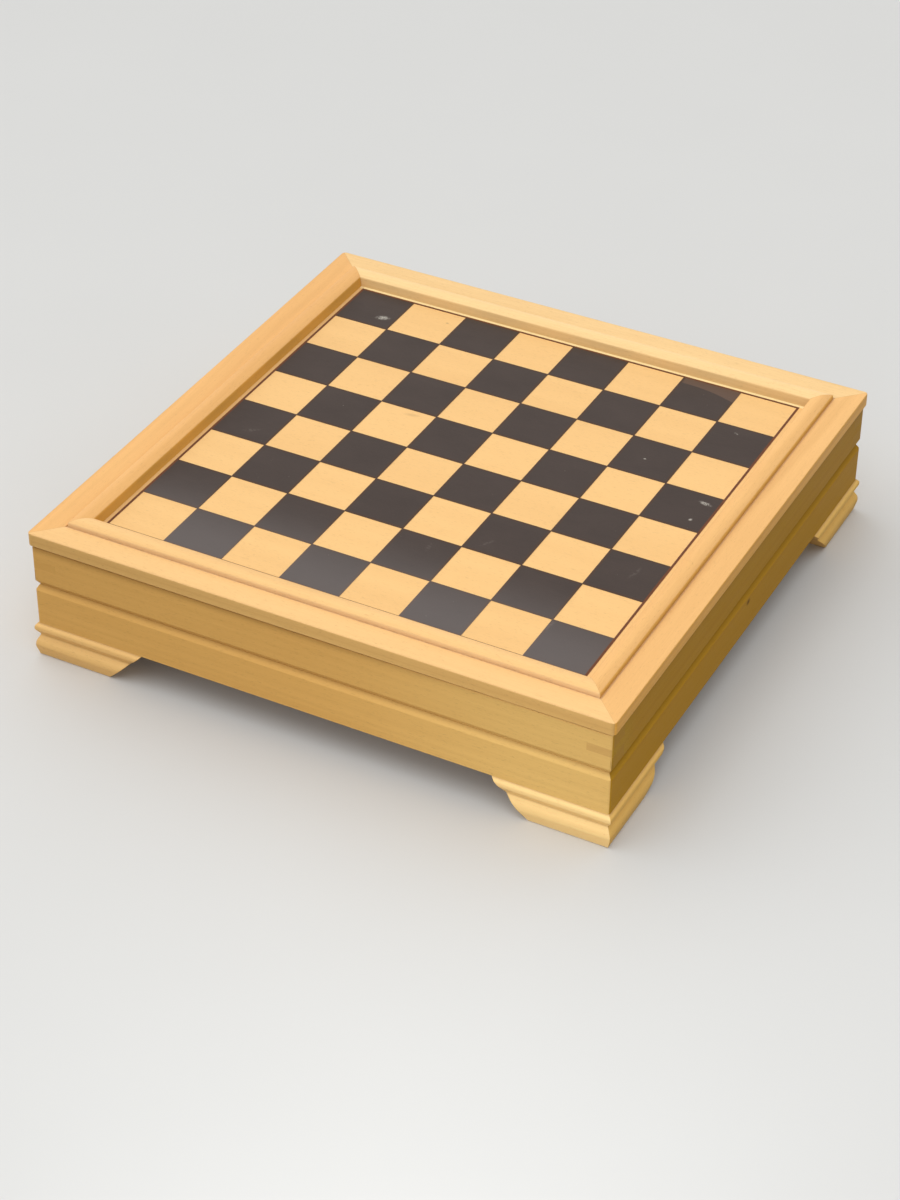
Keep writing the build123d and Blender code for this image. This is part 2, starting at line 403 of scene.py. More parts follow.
class Signal:
    """A shader value that takes part in plain arithmetic, one Math node a step."""

    def __init__(self, nodes, socket):
        self.nodes = nodes
        self.socket = socket

    def __add__(self, other):
        return self.nodes.math("ADD", self, other)

    __radd__ = __add__

    def __sub__(self, other):
        return self.nodes.math("SUBTRACT", self, other)

    def __rsub__(self, other):
        return self.nodes.math("SUBTRACT", other, self)

    def __mul__(self, other):
        return self.nodes.math("MULTIPLY", self, other)

    __rmul__ = __mul__

    def __truediv__(self, other):
        return self.nodes.math("DIVIDE", self, other)

    def __abs__(self):
        return self.nodes.math("ABSOLUTE", self)


class Nodes:
    """The nodes of one material or of the room, and the few ways of adding to them."""

    def __init__(self, owner):
        owner.use_nodes = True
        self.owner = owner
        self.tree = owner.node_tree
        self.tree.nodes.clear()

    def add(self, kind, settings=None, inputs=None):
        """Add a node: its settings first, then the values or links of its sockets."""
        node = self.tree.nodes.new(kind)
        for name, value in (settings or {}).items():
            setattr(node, name, value)
        by_identifier = {socket.identifier: socket for socket in node.inputs}
        for name, value in (inputs or {}).items():
            socket = by_identifier[name]
            if isinstance(value, Signal):
                self.tree.links.new(value.socket, socket)
            elif socket.type == "RGBA":
                socket.default_value = (*value, 1.0)
            else:
                socket.default_value = value
        return node

    def signal(self, node, name):
        """One output of a node."""
        return Signal(self, next(s for s in node.outputs if s.identifier == name))

    def math(self, operation, first, second=0.0, clamp=False):
        """One step of arithmetic."""
        settings = {"operation": operation, "use_clamp": clamp}
        node = self.add("ShaderNodeMath", settings, {"Value": first, "Value_001": second})
        return self.signal(node, "Value")

    def step(self, value, start, end):
        """0 before start, 1 after end and smooth between them; end may be below start."""
        settings = {"interpolation_type": "SMOOTHSTEP", "clamp": True}
        inputs = {
            "Value": value,
            "From Min": min(start, end),
            "From Max": max(start, end),
            "To Min": 0.0 if end > start else 1.0,
            "To Max": 1.0 if end > start else 0.0,
        }
        return self.signal(self.add("ShaderNodeMapRange", settings, inputs), "Result")

    def mix(self, share, first, second, blend_type="MIX"):
        """Blend of two colours."""
        settings = {"data_type": "RGBA", "blend_type": blend_type, "clamp_factor": True}
        inputs = {"Factor_Float": share, "A_Color": first, "B_Color": second}
        return self.signal(self.add("ShaderNodeMix", settings, inputs), "Result_Color")

    def vector_math(self, operation, vector, other):
        """One step of arithmetic on three numbers at a time."""
        inputs = {"Vector": vector, "Vector_001": other}
        node = self.add("ShaderNodeVectorMath", {"operation": operation}, inputs)
        return self.signal(node, "Vector")

    def scaled(self, vector, scale):
        """A vector multiplied by three numbers."""
        return self.vector_math("MULTIPLY", vector, scale)

    def moved(self, vector, shift):
        """A vector with three numbers added."""
        return self.vector_math("ADD", vector, shift)

    def turned(self, vector, turn, shift=(0.0, 0.0, 0.0)):
        """A vector turned by three angles and then moved."""
        inputs = {"Vector": vector, "Rotation": turn, "Location": shift}
        node = self.add("ShaderNodeMapping", {"vector_type": "POINT"}, inputs)
        return self.signal(node, "Vector")

    def parts(self, vector):
        """The three numbers of a vector."""
        node = self.add("ShaderNodeSeparateXYZ", inputs={"Vector": vector})
        return [self.signal(node, name) for name in "XYZ"]

    def noise(self, vector, waves, detail=2.0, roughness=0.5):
        """Noise about 0.5, with so many waves a metre along each axis."""
        inputs = {
            "Vector": self.scaled(vector, waves),
            "Scale": 1.0,
            "Detail": detail,
            "Roughness": roughness,
        }
        return self.signal(self.add("ShaderNodeTexNoise", inputs=inputs), "Fac")

    def noise_along(self, value, detail):
        """Noise about 0.5 along one number."""
        settings = {"noise_dimensions": "1D"}
        inputs = {"W": value, "Scale": 1.0, "Detail": detail}
        return self.signal(self.add("ShaderNodeTexNoise", settings, inputs), "Fac")

    def place(self):
        """Where a point is on the object."""
        return self.signal(self.add("ShaderNodeTexCoord"), "Object")

    def facing(self):
        """Which way a surface faces."""
        return self.signal(self.add("ShaderNodeTexCoord"), "Normal")

    def surface(self, colour, roughness, height, depth, gloss=0.5):
        """Finish the material: height, times depth in metres, is its relief."""
        relief = {"Height": height, "Distance": depth, "Strength": 1.0}
        bump = self.add("ShaderNodeBump", inputs=relief)
        inputs = {
            "Base Color": colour,
            "Roughness": roughness,
            "Normal": self.signal(bump, "Normal"),
            "Specular IOR Level": gloss,
        }
        shader = self.add("ShaderNodeBsdfPrincipled", inputs=inputs)
        surface = {"Surface": self.signal(shader, "BSDF")}
        self.add("ShaderNodeOutputMaterial", inputs=surface)
        return self.owner


def shade(colour, factor):
    """A colour made lighter or darker, worked out here and not in the shader."""
    return tuple(min(1.0, channel * factor) for channel in colour)


def warm(colour, amount):
    """A colour pulled towards deeper amber."""
    red, green, blue = colour
    return (red, green * (1 - 0.45 * amount), blue * (1 - amount))


# ---- timber -----------------------------------------------------------------------------

WALL_GLOSS = {"front": 0.14, "back": 0.14, "left": 0.14, "right": 0.03}
FOOT_GLOSS = {**WALL_GLOSS, "front": 0.30}

# each rail is its own timber: tint and amber change the colour, and the pith is the middle
# of its rings, at this distance from the middle of the box
RAIL_GLOSS = {"front": 0.18, "back": 0.18, "left": 0.18, "right": 0.14}
RAIL_TINT = {"front": 1.01, "back": 1.02, "left": 0.945, "right": 0.965}
RAIL_AMBER = {"front": 0.0, "back": -0.18, "left": 0.24, "right": 0.16}
RAIL_SEED = {"front": 1, "right": 3, "back": 6, "left": 8}
RAIL_PITH = {"front": 0.128, "back": 0.150, "left": 0.118, "right": 0.142}
RAIL_RING_PITCH = {"front": 2.2 * MM, "back": 4.0 * MM, "left": 2.2 * MM, "right": 2.2 * MM}
RAIL_CONTRAST = {"front": 0.8, "back": 1.3, "left": 0.8, "right": 0.8}
PITH_SIGN = {"front": -1, "right": -1, "back": 1, "left": 1}

# colour filters: painted shade makes faces towards the right a darker, deeper amber, and the
# frame's outermost upright faces are made darker and less blue
WALL_RIGHT_SHADE = (0.67, 0.62, 0.18)
WALL_END_RIGHT_SHADE = (0.60, 0.50, 0.13)
FOOT_RIGHT_SHADE = (1.00, 1.00, 0.78)
RAIL_RIGHT_SHADE = (1.00, 0.94, 0.52)
QUIRK_FILTER = (0.88, 0.96, 1.20)
RAIL_EDGE = {
    "front": (0.80, 0.80, 0.68),
    "back": (0.85, 0.85, 0.75),
    "left": (0.85, 0.85, 0.75),
    "right": (1.00, 1.00, 1.00),
}
# bands: number of the axis, where the filter begins and is full, and the filter. The first three
# are painted light: the front walls, the front feet and the front end of the right tray wall get
# paler towards the near right corner
PAINTED_LIGHT_NEAR_END = ((0, -10.0 * MM, 130.0 * MM, (1.10, 1.24, 1.44)),)
PAINTED_LIGHT_NEAR_FOOT = ((0, -10.0 * MM, 130.0 * MM, (1.14, 1.28, 1.50)),)
PAINTED_LIGHT_NEAR_TENON = ((1, -120.0 * MM, -133.0 * MM, (1.00, 1.08, 1.28)),)
# the front tray wall's painted shade fades out between these places, towards the near right
# corner
UNSHADED_END = (-20.0 * MM, 120.0 * MM)
# painted light on the panel's back margin, and painted shadow of the left rail on its left
# margin
MARGIN_LIGHT_AND_SHADOW = (
    (1, HALF_FIELD - 0.1 * MM, HALF_FIELD, (1.12, 1.42, 1.85)),
    (0, -HALF_FIELD + 0.1 * MM, -HALF_FIELD, (0.82, 0.80, 0.80)),
)

GRAIN_TURN = {
    "X": (0.0, 0.0, 0.0),
    "Y": (0.0, 0.0, -math.pi / 2),
    "Z": (0.0, math.pi / 2, 0.0),
}


def pith_of(side, distance, height):
    """Where the rings of a side's bar are centred, across its grain and up."""
    return (PITH_SIGN[side] * distance, height)


def timber_pattern(nodes, grain, seed, pith, ring_pitch):
    """Patterns of one board: rings, figure, fibres, pores and a mask for end grain."""
    along_grain = nodes.turned(nodes.place(), GRAIN_TURN[grain])
    stock = nodes.moved(along_grain, (0.731 * seed, 0.317 * seed, 0.193 * seed))
    along, across, up = nodes.parts(along_grain)

    wander = nodes.noise(stock, (5.0, 9.0, 9.0), detail=1.0)
    side_step = across - pith[0] + 0.020 * wander + (0.018 if seed % 2 else -0.018) * along
    depth = up - pith[1]
    distance = nodes.math("SQRT", side_step * side_step + depth * depth)
    rings = nodes.noise_along(distance * (1 / ring_pitch) + 3.1 * seed, detail=3.0)

    figure = nodes.noise(stock, (6.0, 45.0, 45.0))
    fibres = nodes.noise(stock, (55.0, 1900.0, 1900.0), roughness=0.6)
    dashes = nodes.noise(stock, (420.0, 3600.0, 3600.0), detail=1.0)
    pores = nodes.step(dashes, 0.62, 0.76)

    grain_face = nodes.parts(nodes.facing())[AXIS_NUMBER[grain]]
    end_grain = nodes.step(abs(grain_face), 0.55, 0.9)
    return rings, figure, fibres, pores, end_grain


def mark(nodes, middle, half_sizes, turn):
    """1 in the middle of a marked place and 0 outside it; millimetres and degrees."""
    angle = math.radians(-turn)
    turned_middle = Vector(middle) * MM
    turned_middle.rotate(Euler((0, 0, angle)))
    placed = nodes.turned(nodes.place(), (0.0, 0.0, angle), tuple(-turned_middle))
    spread = nodes.scaled(placed, tuple(1 / (half * MM) for half in half_sizes))
    length = nodes.add("ShaderNodeVectorMath", {"operation": "LENGTH"}, {"Vector": spread})
    return nodes.step(nodes.signal(length, "Value"), 1.3, 0.2)


def board_marks(nodes, places):
    """The strongest of several marks on the playing surface."""
    height = BOARD_TOP / MM
    found = None
    for (x, y), (along, across), turn in places:
        one = mark(nodes, (x, y, height), (along, across, MARK_DEPTH), turn)
        found = one if found is None else nodes.math("MAXIMUM", found, one)
    return found


def moulding_shade(nodes, wood, colour, place, outer_edge):
    """Paint shade on a rail round the opening, tint its quirk and filter its outermost face."""
    reach = nodes.math("MAXIMUM", abs(place[0]), abs(place[1]))
    # painted shade on the rail's inner face round the opening
    shaded = nodes.step(reach, HALF_OPENING + 2.1 * MM, HALF_OPENING + 1.3 * MM)
    wood = nodes.mix(shaded * 0.45, wood, warm(shade(colour, 0.50), 0.45))
    from_quirk = abs(reach - (QUIRK_START + QUIRK_END) / 2)
    in_quirk = nodes.step(from_quirk, 0.9 * MM, 0.3 * MM)
    wood = nodes.mix(in_quirk, wood, QUIRK_FILTER, "MULTIPLY")
    upright = nodes.step(abs(nodes.parts(nodes.facing())[2]), 0.6, 0.3)
    outermost = nodes.step(reach, QUIRK_END + 2.0 * MM, QUIRK_END + 3.0 * MM) * upright
    return nodes.mix(outermost, wood, outer_edge, "MULTIPLY")


def timber(
    name,
    colour,
    grain,
    seed,
    pith,
    ring_pitch=3.0 * MM,
    contrast=1.0,
    gloss=0.35,
    mitred=False,
    painted_light_bands=(),
    right_painted_shade=None,
    outer_edge=None,
    unshaded_end=None,
    crease_shade=(),
    stains=(),
):
    """Lacquered straight-grained wood.

    mitred darkens the glue lines of the corners. The bands, the right-face filter and the
    outer-edge filter change the colour: the bands paint light and shade along an axis, the
    right-face filter paints shade on faces towards the right, and the outer-edge filter makes
    a rail's outermost upright face darker and less blue. The outer-edge setting also gives a
    rail painted shade round its opening and its quirk's tint. The crease shade lists heights
    with painted shade in creases and under the frame's overhang, each with its spread and its
    strength, and the unshaded end is where it fades out towards the right. stains are (middle,
    half sizes, turn, strength) in millimetres and degrees.
    """
    nodes = Nodes(bpy.data.materials.new(name))
    pattern = timber_pattern(nodes, grain, seed, pith, ring_pitch)
    rings, figure, fibres, pores, end_grain = pattern
    depth = (rings - 0.5) * 1.1 + (figure - 0.5) * 0.9 + (fibres - 0.5) * 0.7
    shade_share = nodes.math("ADD", depth * contrast, 0.5, clamp=True)
    pale = shade(colour, 1.07)
    deep = warm(shade(colour, 0.90), 0.16)
    wood = nodes.mix(shade_share, pale, deep)
    wood = nodes.mix(pores * 0.30, wood, warm(shade(colour, 0.50), 0.35))
    wood = nodes.mix(end_grain * 0.14, wood, warm(shade(colour, 0.66), 0.22))
    place = nodes.parts(nodes.place())
    # painted light and shade along an axis
    for axis, start, full, colour_filter in painted_light_bands:
        wood = nodes.mix(nodes.step(place[axis], start, full), wood, colour_filter, "MULTIPLY")
    # one darker colour for the painted crease shade, the stains and the glue lines
    stain_and_shade_colour = warm(shade(colour, 0.34), 0.40)
    if outer_edge:
        wood = moulding_shade(nodes, wood, colour, place, outer_edge)
    # painted shade in creases and under the frame's overhang, fading out towards the unshaded
    # end
    shade_remains = 1.0 - nodes.step(place[0], *unshaded_end) if unshaded_end else 1.0
    for height, spread, strength in crease_shade:
        crease_shade_amount = nodes.step(abs(place[2] - height), spread, 0.0)
        wood = nodes.mix(crease_shade_amount * strength * shade_remains, wood, stain_and_shade_colour)
    for middle, half_sizes, turn, strength in stains:
        wood = nodes.mix(mark(nodes, middle, half_sizes, turn) * strength, wood, stain_and_shade_colour)
    # painted shade: faces towards the right are darkened and turned a deeper amber
    if right_painted_shade:
        right_shade_share = nodes.step(nodes.parts(nodes.facing())[0], 0.55, 0.85)
        wood = nodes.mix(right_shade_share, wood, right_painted_shade, "MULTIPLY")
    if mitred:
        seam = nodes.step(abs(abs(place[0]) - abs(place[1])), 0.20 * MM, 0.05 * MM)
        wood = nodes.mix(seam * 0.22, wood, stain_and_shade_colour)
    roughness = 0.42 + (fibres - 0.5) * 0.10 + pores * 0.10 + end_grain * 0.12
    height = fibres * 0.5 + rings * 0.25 - pores * 0.8
    return nodes.surface(wood, roughness, height, 0.045 * MM, gloss=gloss)


# ---- paint ------------------------------------------------------------------------------

DUST_COLOUR = display(168, 160, 150)
CHIP_COLOUR = display(188, 182, 170)
SCUFF_COLOUR = display(150, 140, 132)
PAINTED_SHEEN_COLOUR = display(200, 196, 196)
WORN_COLOUR = display(102, 78, 63)
# the worn patch begins at a bent line, in millimetres: its middle, bend, start and full wear
WORN_MIDDLE = 63.0
WORN_BEND = 0.0075
WORN_START = 113.8
WORN_FULL = 114.7
# a mark reaches this far up and down, in millimetres
MARK_DEPTH = 5.0

# each chip or scuff: middle (x, y), half sizes and turn, in millimetres and degrees
GREY_CHIPS = (
    ((-97.0, 99.0), (3.6, 1.9), 20),
    ((113.0, 23.0), (3.2, 1.3), -10),
    ((112.0, 8.0), (1.2, 0.8), 60),
    ((102.5, 84.5), (1.2, 1.1), 10),
    ((73.0, 44.0), (0.8, 0.5), 10),
)
SCUFFS = (
    ((107.0, -42.0), (5.0, 1.2), 80),
    ((39.0, -52.0), (4.0, 1.0), 60),
    ((91.0, -94.0), (5.5, 1.0), 85),
    ((17.0, -67.0), (3.5, 1.2), 100),
    ((-102.0, -22.0), (4.5, 1.4), 30),
)
# each stain: middle, half sizes, turn and strength
PANEL_STAINS = (
    ((-41.0, 26.0, BOARD_TOP / MM), (4.2, 1.4, MARK_DEPTH), 10, 0.22),
    ((-66.0, 110.0, BOARD_TOP / MM), (0.9, 0.7, MARK_DEPTH), 0, 0.45),
)
KNOT = (((HALF_WALL / MM, 4.0, 33.6), (2.0, 2.2, 1.6), 0, 1.0),)


def square_paint(paint):
    """Satin paint of the dark squares, thinner along their edges, with scuffs and chips."""
    nodes = Nodes(bpy.data.materials.new("dark_square_paint"))
    place = nodes.place()
    x, y, _ = nodes.parts(place)
    to_line_x = abs(x - nodes.math("ROUND", x / SQUARE) * SQUARE)
    to_line_y = abs(y - nodes.math("ROUND", y / SQUARE) * SQUARE)
    to_edge = nodes.math("MINIMUM", to_line_x, to_line_y)
    ragged = nodes.noise(place, (300.0,) * 3)
    rim = nodes.step(to_edge + (ragged - 0.5) * (0.7 * MM), 1.3 * MM, 0.5 * MM)

    clouds = nodes.noise(place, (38.0, 60.0, 60.0), detail=3.0, roughness=0.6)
    speckle = nodes.noise(place, (1500.0,) * 3, detail=1.0)
    fibres = nodes.noise(place, (90.0, 2100.0, 2100.0))

    depth = (clouds - 0.5) * 1.0 + (speckle - 0.5) * 0.8 + (fibres - 0.5) * 0.7
    tone = nodes.math("ADD", depth, 0.5, clamp=True)
    paint_colour = nodes.mix(tone, shade(paint.square, 1.16), shade(paint.square, 0.84))
    paint_colour = nodes.mix(rim * 0.8, paint_colour, tuple(paint.rim))

    from_middle = x * (1 / MM) - WORN_MIDDLE
    arc = y * (1 / MM) + from_middle * from_middle * WORN_BEND
    worn = nodes.step(arc, WORN_START, WORN_FULL) * nodes.step(x, 60.5 * MM, 61.5 * MM)
    paint_colour = nodes.mix(worn * 0.75, paint_colour, WORN_COLOUR)

    flecks = nodes.noise(place, (900.0,) * 3)
    chips = board_marks(nodes, GREY_CHIPS) * nodes.step(flecks, 0.36, 0.50)
    streaks = nodes.noise(place, (700.0,) * 3)
    scuffs = board_marks(nodes, SCUFFS) * nodes.step(streaks, 0.40, 0.66)
    dust = nodes.step(nodes.noise(place, (640.0,) * 3), 0.76, 0.82)
    paint_colour = nodes.mix(scuffs * 0.20, paint_colour, SCUFF_COLOUR)
    paint_colour = nodes.mix(dust * 0.35, paint_colour, DUST_COLOUR)
    paint_colour = nodes.mix(chips * 0.80, paint_colour, CHIP_COLOUR)

    # painted sheen: the dark squares get paler and greyer towards the front, a painted
    # reflection
    painted_sheen = nodes.step(y, -60.0 * MM, -118.0 * MM)
    paint_colour = nodes.mix(painted_sheen * 0.12, paint_colour, PAINTED_SHEEN_COLOUR)

    roughness = 0.40 + (clouds - 0.5) * 0.14 + scuffs * 0.2 + chips * 0.25 + rim * 0.05
    height = fibres * 0.5 + speckle * 0.3 - chips * 0.8
    return nodes.surface(paint_colour, roughness, height, 0.03 * MM, gloss=0.30)


def line_paint(paint):
    """Thin brown paint of the line round the field, with the grain showing through."""
    nodes = Nodes(bpy.data.materials.new("border_line_paint"))
    place = nodes.place()
    cover = nodes.noise(place, (260.0,) * 3, detail=3.0)
    fibres = nodes.noise(place, (90.0, 2100.0, 2100.0))
    tone = nodes.math("ADD", (cover - 0.5) * 1.4 + (fibres - 0.5) * 0.8, 0.5, clamp=True)
    colour = nodes.mix(tone, shade(paint.line, 0.82), shade(paint.line, 1.25))
    roughness = 0.44 + (cover - 0.5) * 0.1
    return nodes.surface(colour, roughness, fibres, 0.02 * MM, gloss=0.15)


def veneer(name, colour, seed):
    """Thin plywood floor: a plain rotary-cut face, dry and lightly sealed."""
    nodes = Nodes(bpy.data.materials.new(name))
    place = nodes.moved(nodes.place(), (0.71 * seed, 0.33 * seed, 0.0))
    sweep = nodes.noise(place, (3.5, 16.0, 5.0), detail=1.0)
    loops = nodes.noise_along(sweep * 26.0, detail=2.0)
    fibres = nodes.noise(place, (70.0, 1600.0, 400.0))
    dashes = nodes.step(nodes.noise(place, (260.0, 2600.0, 400.0)), 0.63, 0.74)
    depth = (loops - 0.5) * 1.3 + (fibres - 0.5) * 0.8
    tone = nodes.math("ADD", depth, 0.5, clamp=True)
    colour_now = nodes.mix(tone, shade(colour, 1.06), warm(shade(colour, 0.88), 0.18))
    colour_now = nodes.mix(dashes * 0.35, colour_now, warm(shade(colour, 0.5), 0.3))
    return nodes.surface(colour_now, 0.55 + (fibres - 0.5) * 0.1, fibres - dashes, 0.05 * MM)


# ---- pieces -----------------------------------------------------------------------------


def on_mitre(vert):
    """Whether a corner lies on the upright planes through the box's corners."""
    return abs(abs(vert.co.x) - abs(vert.co.y)) < ON_PLANE


def mitred_joint(edge):
    """Edges where two mitred sides meet."""
    return all(on_mitre(vert) for vert in edge.verts)


def finger_joint(edge):
    """Edges of the through tenons, and where the front and back walls meet the sides."""
    xs = [abs(vert.co.x) for vert in edge.verts]
    ys = [abs(vert.co.y) for vert in edge.verts]
    corner = min(*xs, *ys) > HALF_INNER - IN_JOINT
    if not corner:
        return False
    half_tenon = TENON_HEIGHT / 2 + 0.1 * MM
    in_tenon = all(abs(vert.co.z - TENON_MIDDLE) < half_tenon for vert in edge.verts)
    on_x = max(xs) < HALF_INNER + IN_JOINT
    on_y = max(ys) < HALF_INNER + IN_JOINT
    return in_tenon or on_x or on_y


def no_joint(edge):
    """For pieces with no joint that shows."""
    return False


def section_bar(corners, rounds, half_length):
    """Straight bar along Y with this section and its listed corners rounded.

    A corner is (distance from the middle of the box, height). A round is the number of a
    corner, its radius and its segments.
    """
    bar = bmesh.new()
    cap = bar.faces.new([bar.verts.new((x, -half_length, z)) for x, z in corners])
    grown = bmesh.ops.extrude_face_region(bar, geom=[cap])["geom"]
    far_end = [part for part in grown if isinstance(part, bmesh.types.BMVert)]
    bmesh.ops.translate(bar, verts=far_end, vec=(0, 2 * half_length, 0))
    bmesh.ops.recalc_face_normals(bar, faces=bar.faces)
    for number, radius, segments in rounds:
        x, z = corners[number]
        edge = next(
            edge
            for edge in bar.edges
            if all(abs(v.co.x - x) < TOUCH and abs(v.co.z - z) < TOUCH for v in edge.verts)
        )
        bmesh.ops.bevel(
            bar,
            geom=[edge],
            offset=radius * math.tan(edge.calc_face_angle() / 2),
            offset_type="OFFSET",
            affect="EDGES",
            segments=segments,
            profile=0.5,
            material=-1,
        )
    return bar


def cut(shape, through, away):
    """Cut a closed shape at a plane, drop what lies on its away side and close it."""
    everything = [*shape.verts, *shape.edges, *shape.faces]
    bmesh.ops.bisect_plane(
        shape,
        geom=everything,
        dist=0.0001 * MM,
        plane_co=through,
        plane_no=away,
        clear_outer=True,
    )
    rim = [edge for edge in shape.edges if edge.is_boundary]
    bmesh.ops.holes_fill(shape, edges=rim, sides=0)


def cut_corner(bar, end, reach, radius):
    """Mitre one end of a bar along the right-hand side, and round the corner there."""
    cut(bar, (0, 0, 0), (-1, end, 0))
    centre = Vector((reach - radius, end * (reach - radius), 0))
    for degrees in CORNER_CUTS:
        turn = math.radians(degrees)
        away = Vector((math.cos(turn), end * math.sin(turn), 0))
        cut(bar, centre + away * radius, away)


def turn_to_side(bar, side):
    """Take a bar from the right-hand side to another side of the box."""
    turn = Matrix.Rotation(math.radians(TURN_OF_SIDE[side]), 3, "Z")
    bmesh.ops.rotate(bar, verts=bar.verts, cent=(0, 0, 0), matrix=turn)
    bmesh.ops.remove_doubles(bar, verts=bar.verts, dist=ON_PLANE)
    bmesh.ops.recalc_face_normals(bar, faces=bar.faces)


def mitred_bar(corners, rounds, reach, radius, side):
    """Whole bar of one side, mitred at both ends, with rounded upright corners."""
    bar = section_bar(corners, rounds, reach + BAR_SPARE)
    for end in (1, -1):
        cut_corner(bar, end, reach, radius)
    turn_to_side(bar, side)
    return bar


def copy_of(node):
    """Merged copy of a node's solid, with its flat faces whole again."""
    shape = bmesh.new()
    shape.from_mesh(frame["nodes"][node].data)
    bmesh.ops.remove_doubles(shape, verts=shape.verts, dist=TOUCH)
    bmesh.ops.dissolve_limit(
        shape, angle_limit=FLAT_ANGLE, verts=shape.verts, edges=shape.edges
    )
    return shape


def in_round_corner(edge):
    """Upright edges of the walls' rounded corners, which stay as they are."""
    upright = abs(edge.verts[0].co.z - edge.verts[1].co.z) > 4 * math.dist(
        edge.verts[0].co.xy, edge.verts[1].co.xy
    )
    inner = HALF_WALL - WALL_CORNER - IN_JOINT
    return upright and all(min(abs(v.co.x), abs(v.co.y)) > inner for v in edge.verts)


def slot_of(node):
    """The record's material slot for a node."""
    rows = frame["record"]["subparts"]
    return next(row["material_slot"] for row in rows if row["node"] == node)


def finish_piece(name, shape, node, width, material, is_joint=no_joint, joint_width=0.0):
    """Ease a shape's outer edges, leave only fine grooves at its joints, and place it."""
    weights = shape.edges.layers.float.new("bevel_weight_edge")
    for edge in shape.edges:
        if not edge.is_manifold:
            raise RuntimeError(f"{name} is not closed")
        if edge.is_convex and edge.calc_face_angle() > EASED_ANGLE:
            if is_joint(edge):
                edge[weights] = joint_width / width
            elif not in_round_corner(edge):
                edge[weights] = 1.0
    mesh = bpy.data.meshes.new(name)
    shape.to_mesh(mesh)
    shape.free()
    if "custom_normal" in mesh.attributes:
        mesh.attributes.remove(mesh.attributes["custom_normal"])
    mesh.shade_smooth()
    mesh.set_sharp_from_angle(angle=SHARP_ANGLE)
    mesh.materials.clear()
    mesh.materials.append(material)

    piece = bpy.data.objects.new(name, mesh)
    bpy.context.scene.collection.objects.link(piece)
    bevel = piece.modifiers.new("eased_edges", "BEVEL")
    bevel.limit_method = "WEIGHT"
    bevel.width = width
    bevel.segments = EASING_SEGMENTS
    bevel.profile = 0.5
    bevel.use_clamp_overlap = False
    bevel.material = -1
    even = piece.modifiers.new("even_shading", "WEIGHTED_NORMAL")
    even.keep_sharp = True
    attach(piece, frame["nodes"][node]["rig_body"])
    slot_of(node)
    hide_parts(node)


def repaint(node, material):
    """Give a node that stays as it is its finish."""
    slots = frame["nodes"][node].material_slots
    if not slots:
        raise RuntimeError(f"{node} has no material slot")
    for slot in slots:
        slot.material = material


class COMPENDIUM_OT_rails(bpy.types.Operator):
    """Moulded frame of the playing board, four mitred rails"""

    bl_idname = "compendium.rails"
    bl_label = "Board frame"

    def execute(self, context):
        settings = context.scene.compendium
        for side in SIDES:
            material = timber(
                f"rail_timber_{side}",
                warm(shade(settings.timber.rail, RAIL_TINT[side]), RAIL_AMBER[side]),
                GRAIN_OF_SIDE[side],
                seed=RAIL_SEED[side],
                pith=pith_of(side, RAIL_PITH[side], 0.012),
                ring_pitch=RAIL_RING_PITCH[side],
                contrast=RAIL_CONTRAST[side],
                gloss=RAIL_GLOSS[side],
                mitred=True,
                right_painted_shade=RAIL_RIGHT_SHADE,
                outer_edge=RAIL_EDGE[side],
            )
            finish_piece(
                f"frame_rail_{side}",
                mitred_bar(RAIL_SECTION, RAIL_ROUNDS, HALF_BOARD, RAIL_CORNER, side),
                f"board_rail_{side}",
                settings.edges.rail,
                material,
                mitred_joint,
                settings.edges.joint,
            )
        return {"FINISHED"}


class COMPENDIUM_OT_board(bpy.types.Operator):
    """Playing surface: pale panel, painted squares and the line round them"""

    bl_idname = "compendium.board"
    bl_label = "Playing surface"

    def execute(self, context):
        settings = context.scene.compendium
        panel = timber(
            "panel_timber",
            tuple(settings.timber.panel),
            "X",
            seed=11,
            pith=(0.030, -0.260),
            ring_pitch=2.6 * MM,
            contrast=0.35,
            painted_light_bands=MARGIN_LIGHT_AND_SHADOW,
            stains=PANEL_STAINS,
        )
        repaint("board_panel", panel)
        repaint("dark_squares", square_paint(settings.paint))
        repaint("border_line", line_paint(settings.paint))
        return {"FINISHED"}


class COMPENDIUM_OT_tray(bpy.types.Operator):
    """Walls of the lift-off tray, joined by one through tenon at each corner"""

    bl_idname = "compendium.tray"
    bl_label = "Tray walls"

    def execute(self, context):
        settings = context.scene.compendium
        for number, side in enumerate(SIDES):
            # weaker painted shade in the groove and under the frame on the right side
            crease_shade_amount = 0.4 if side == "right" else 1.0
            material = timber(
                f"tray_timber_{side}",
                tuple(settings.timber.wall),
                GRAIN_OF_SIDE[side],
                seed=21 + 3 * number,
                pith=pith_of(side, 0.120, 0.105 + 0.01 * number),
                ring_pitch=2.8 * MM,
                contrast=0.55,
                gloss=WALL_GLOSS[side],
                painted_light_bands={"front": PAINTED_LIGHT_NEAR_END, "right": PAINTED_LIGHT_NEAR_TENON}.get(side, ()),
                right_painted_shade=WALL_END_RIGHT_SHADE if side == "front" else WALL_RIGHT_SHADE,
                # painted shade in the groove above the base and under the frame's overhang; on
                # the front it fades out towards the near corner
                unshaded_end=UNSHADED_END if side == "front" else None,
                crease_shade=(
                    (TRAY_BOTTOM, 1.0 * MM, 0.30 * crease_shade_amount),
                    (RAIL_BOTTOM, 5.0 * MM, 0.50 * crease_shade_amount),
                ),
            )
            finish_piece(
                f"tray_side_{side}",
                copy_of(f"tray_wall_{side}"),
                f"tray_wall_{side}",
                settings.edges.case,
                material,
                finger_joint,
                settings.edges.joint,
            )
        return {"FINISHED"}


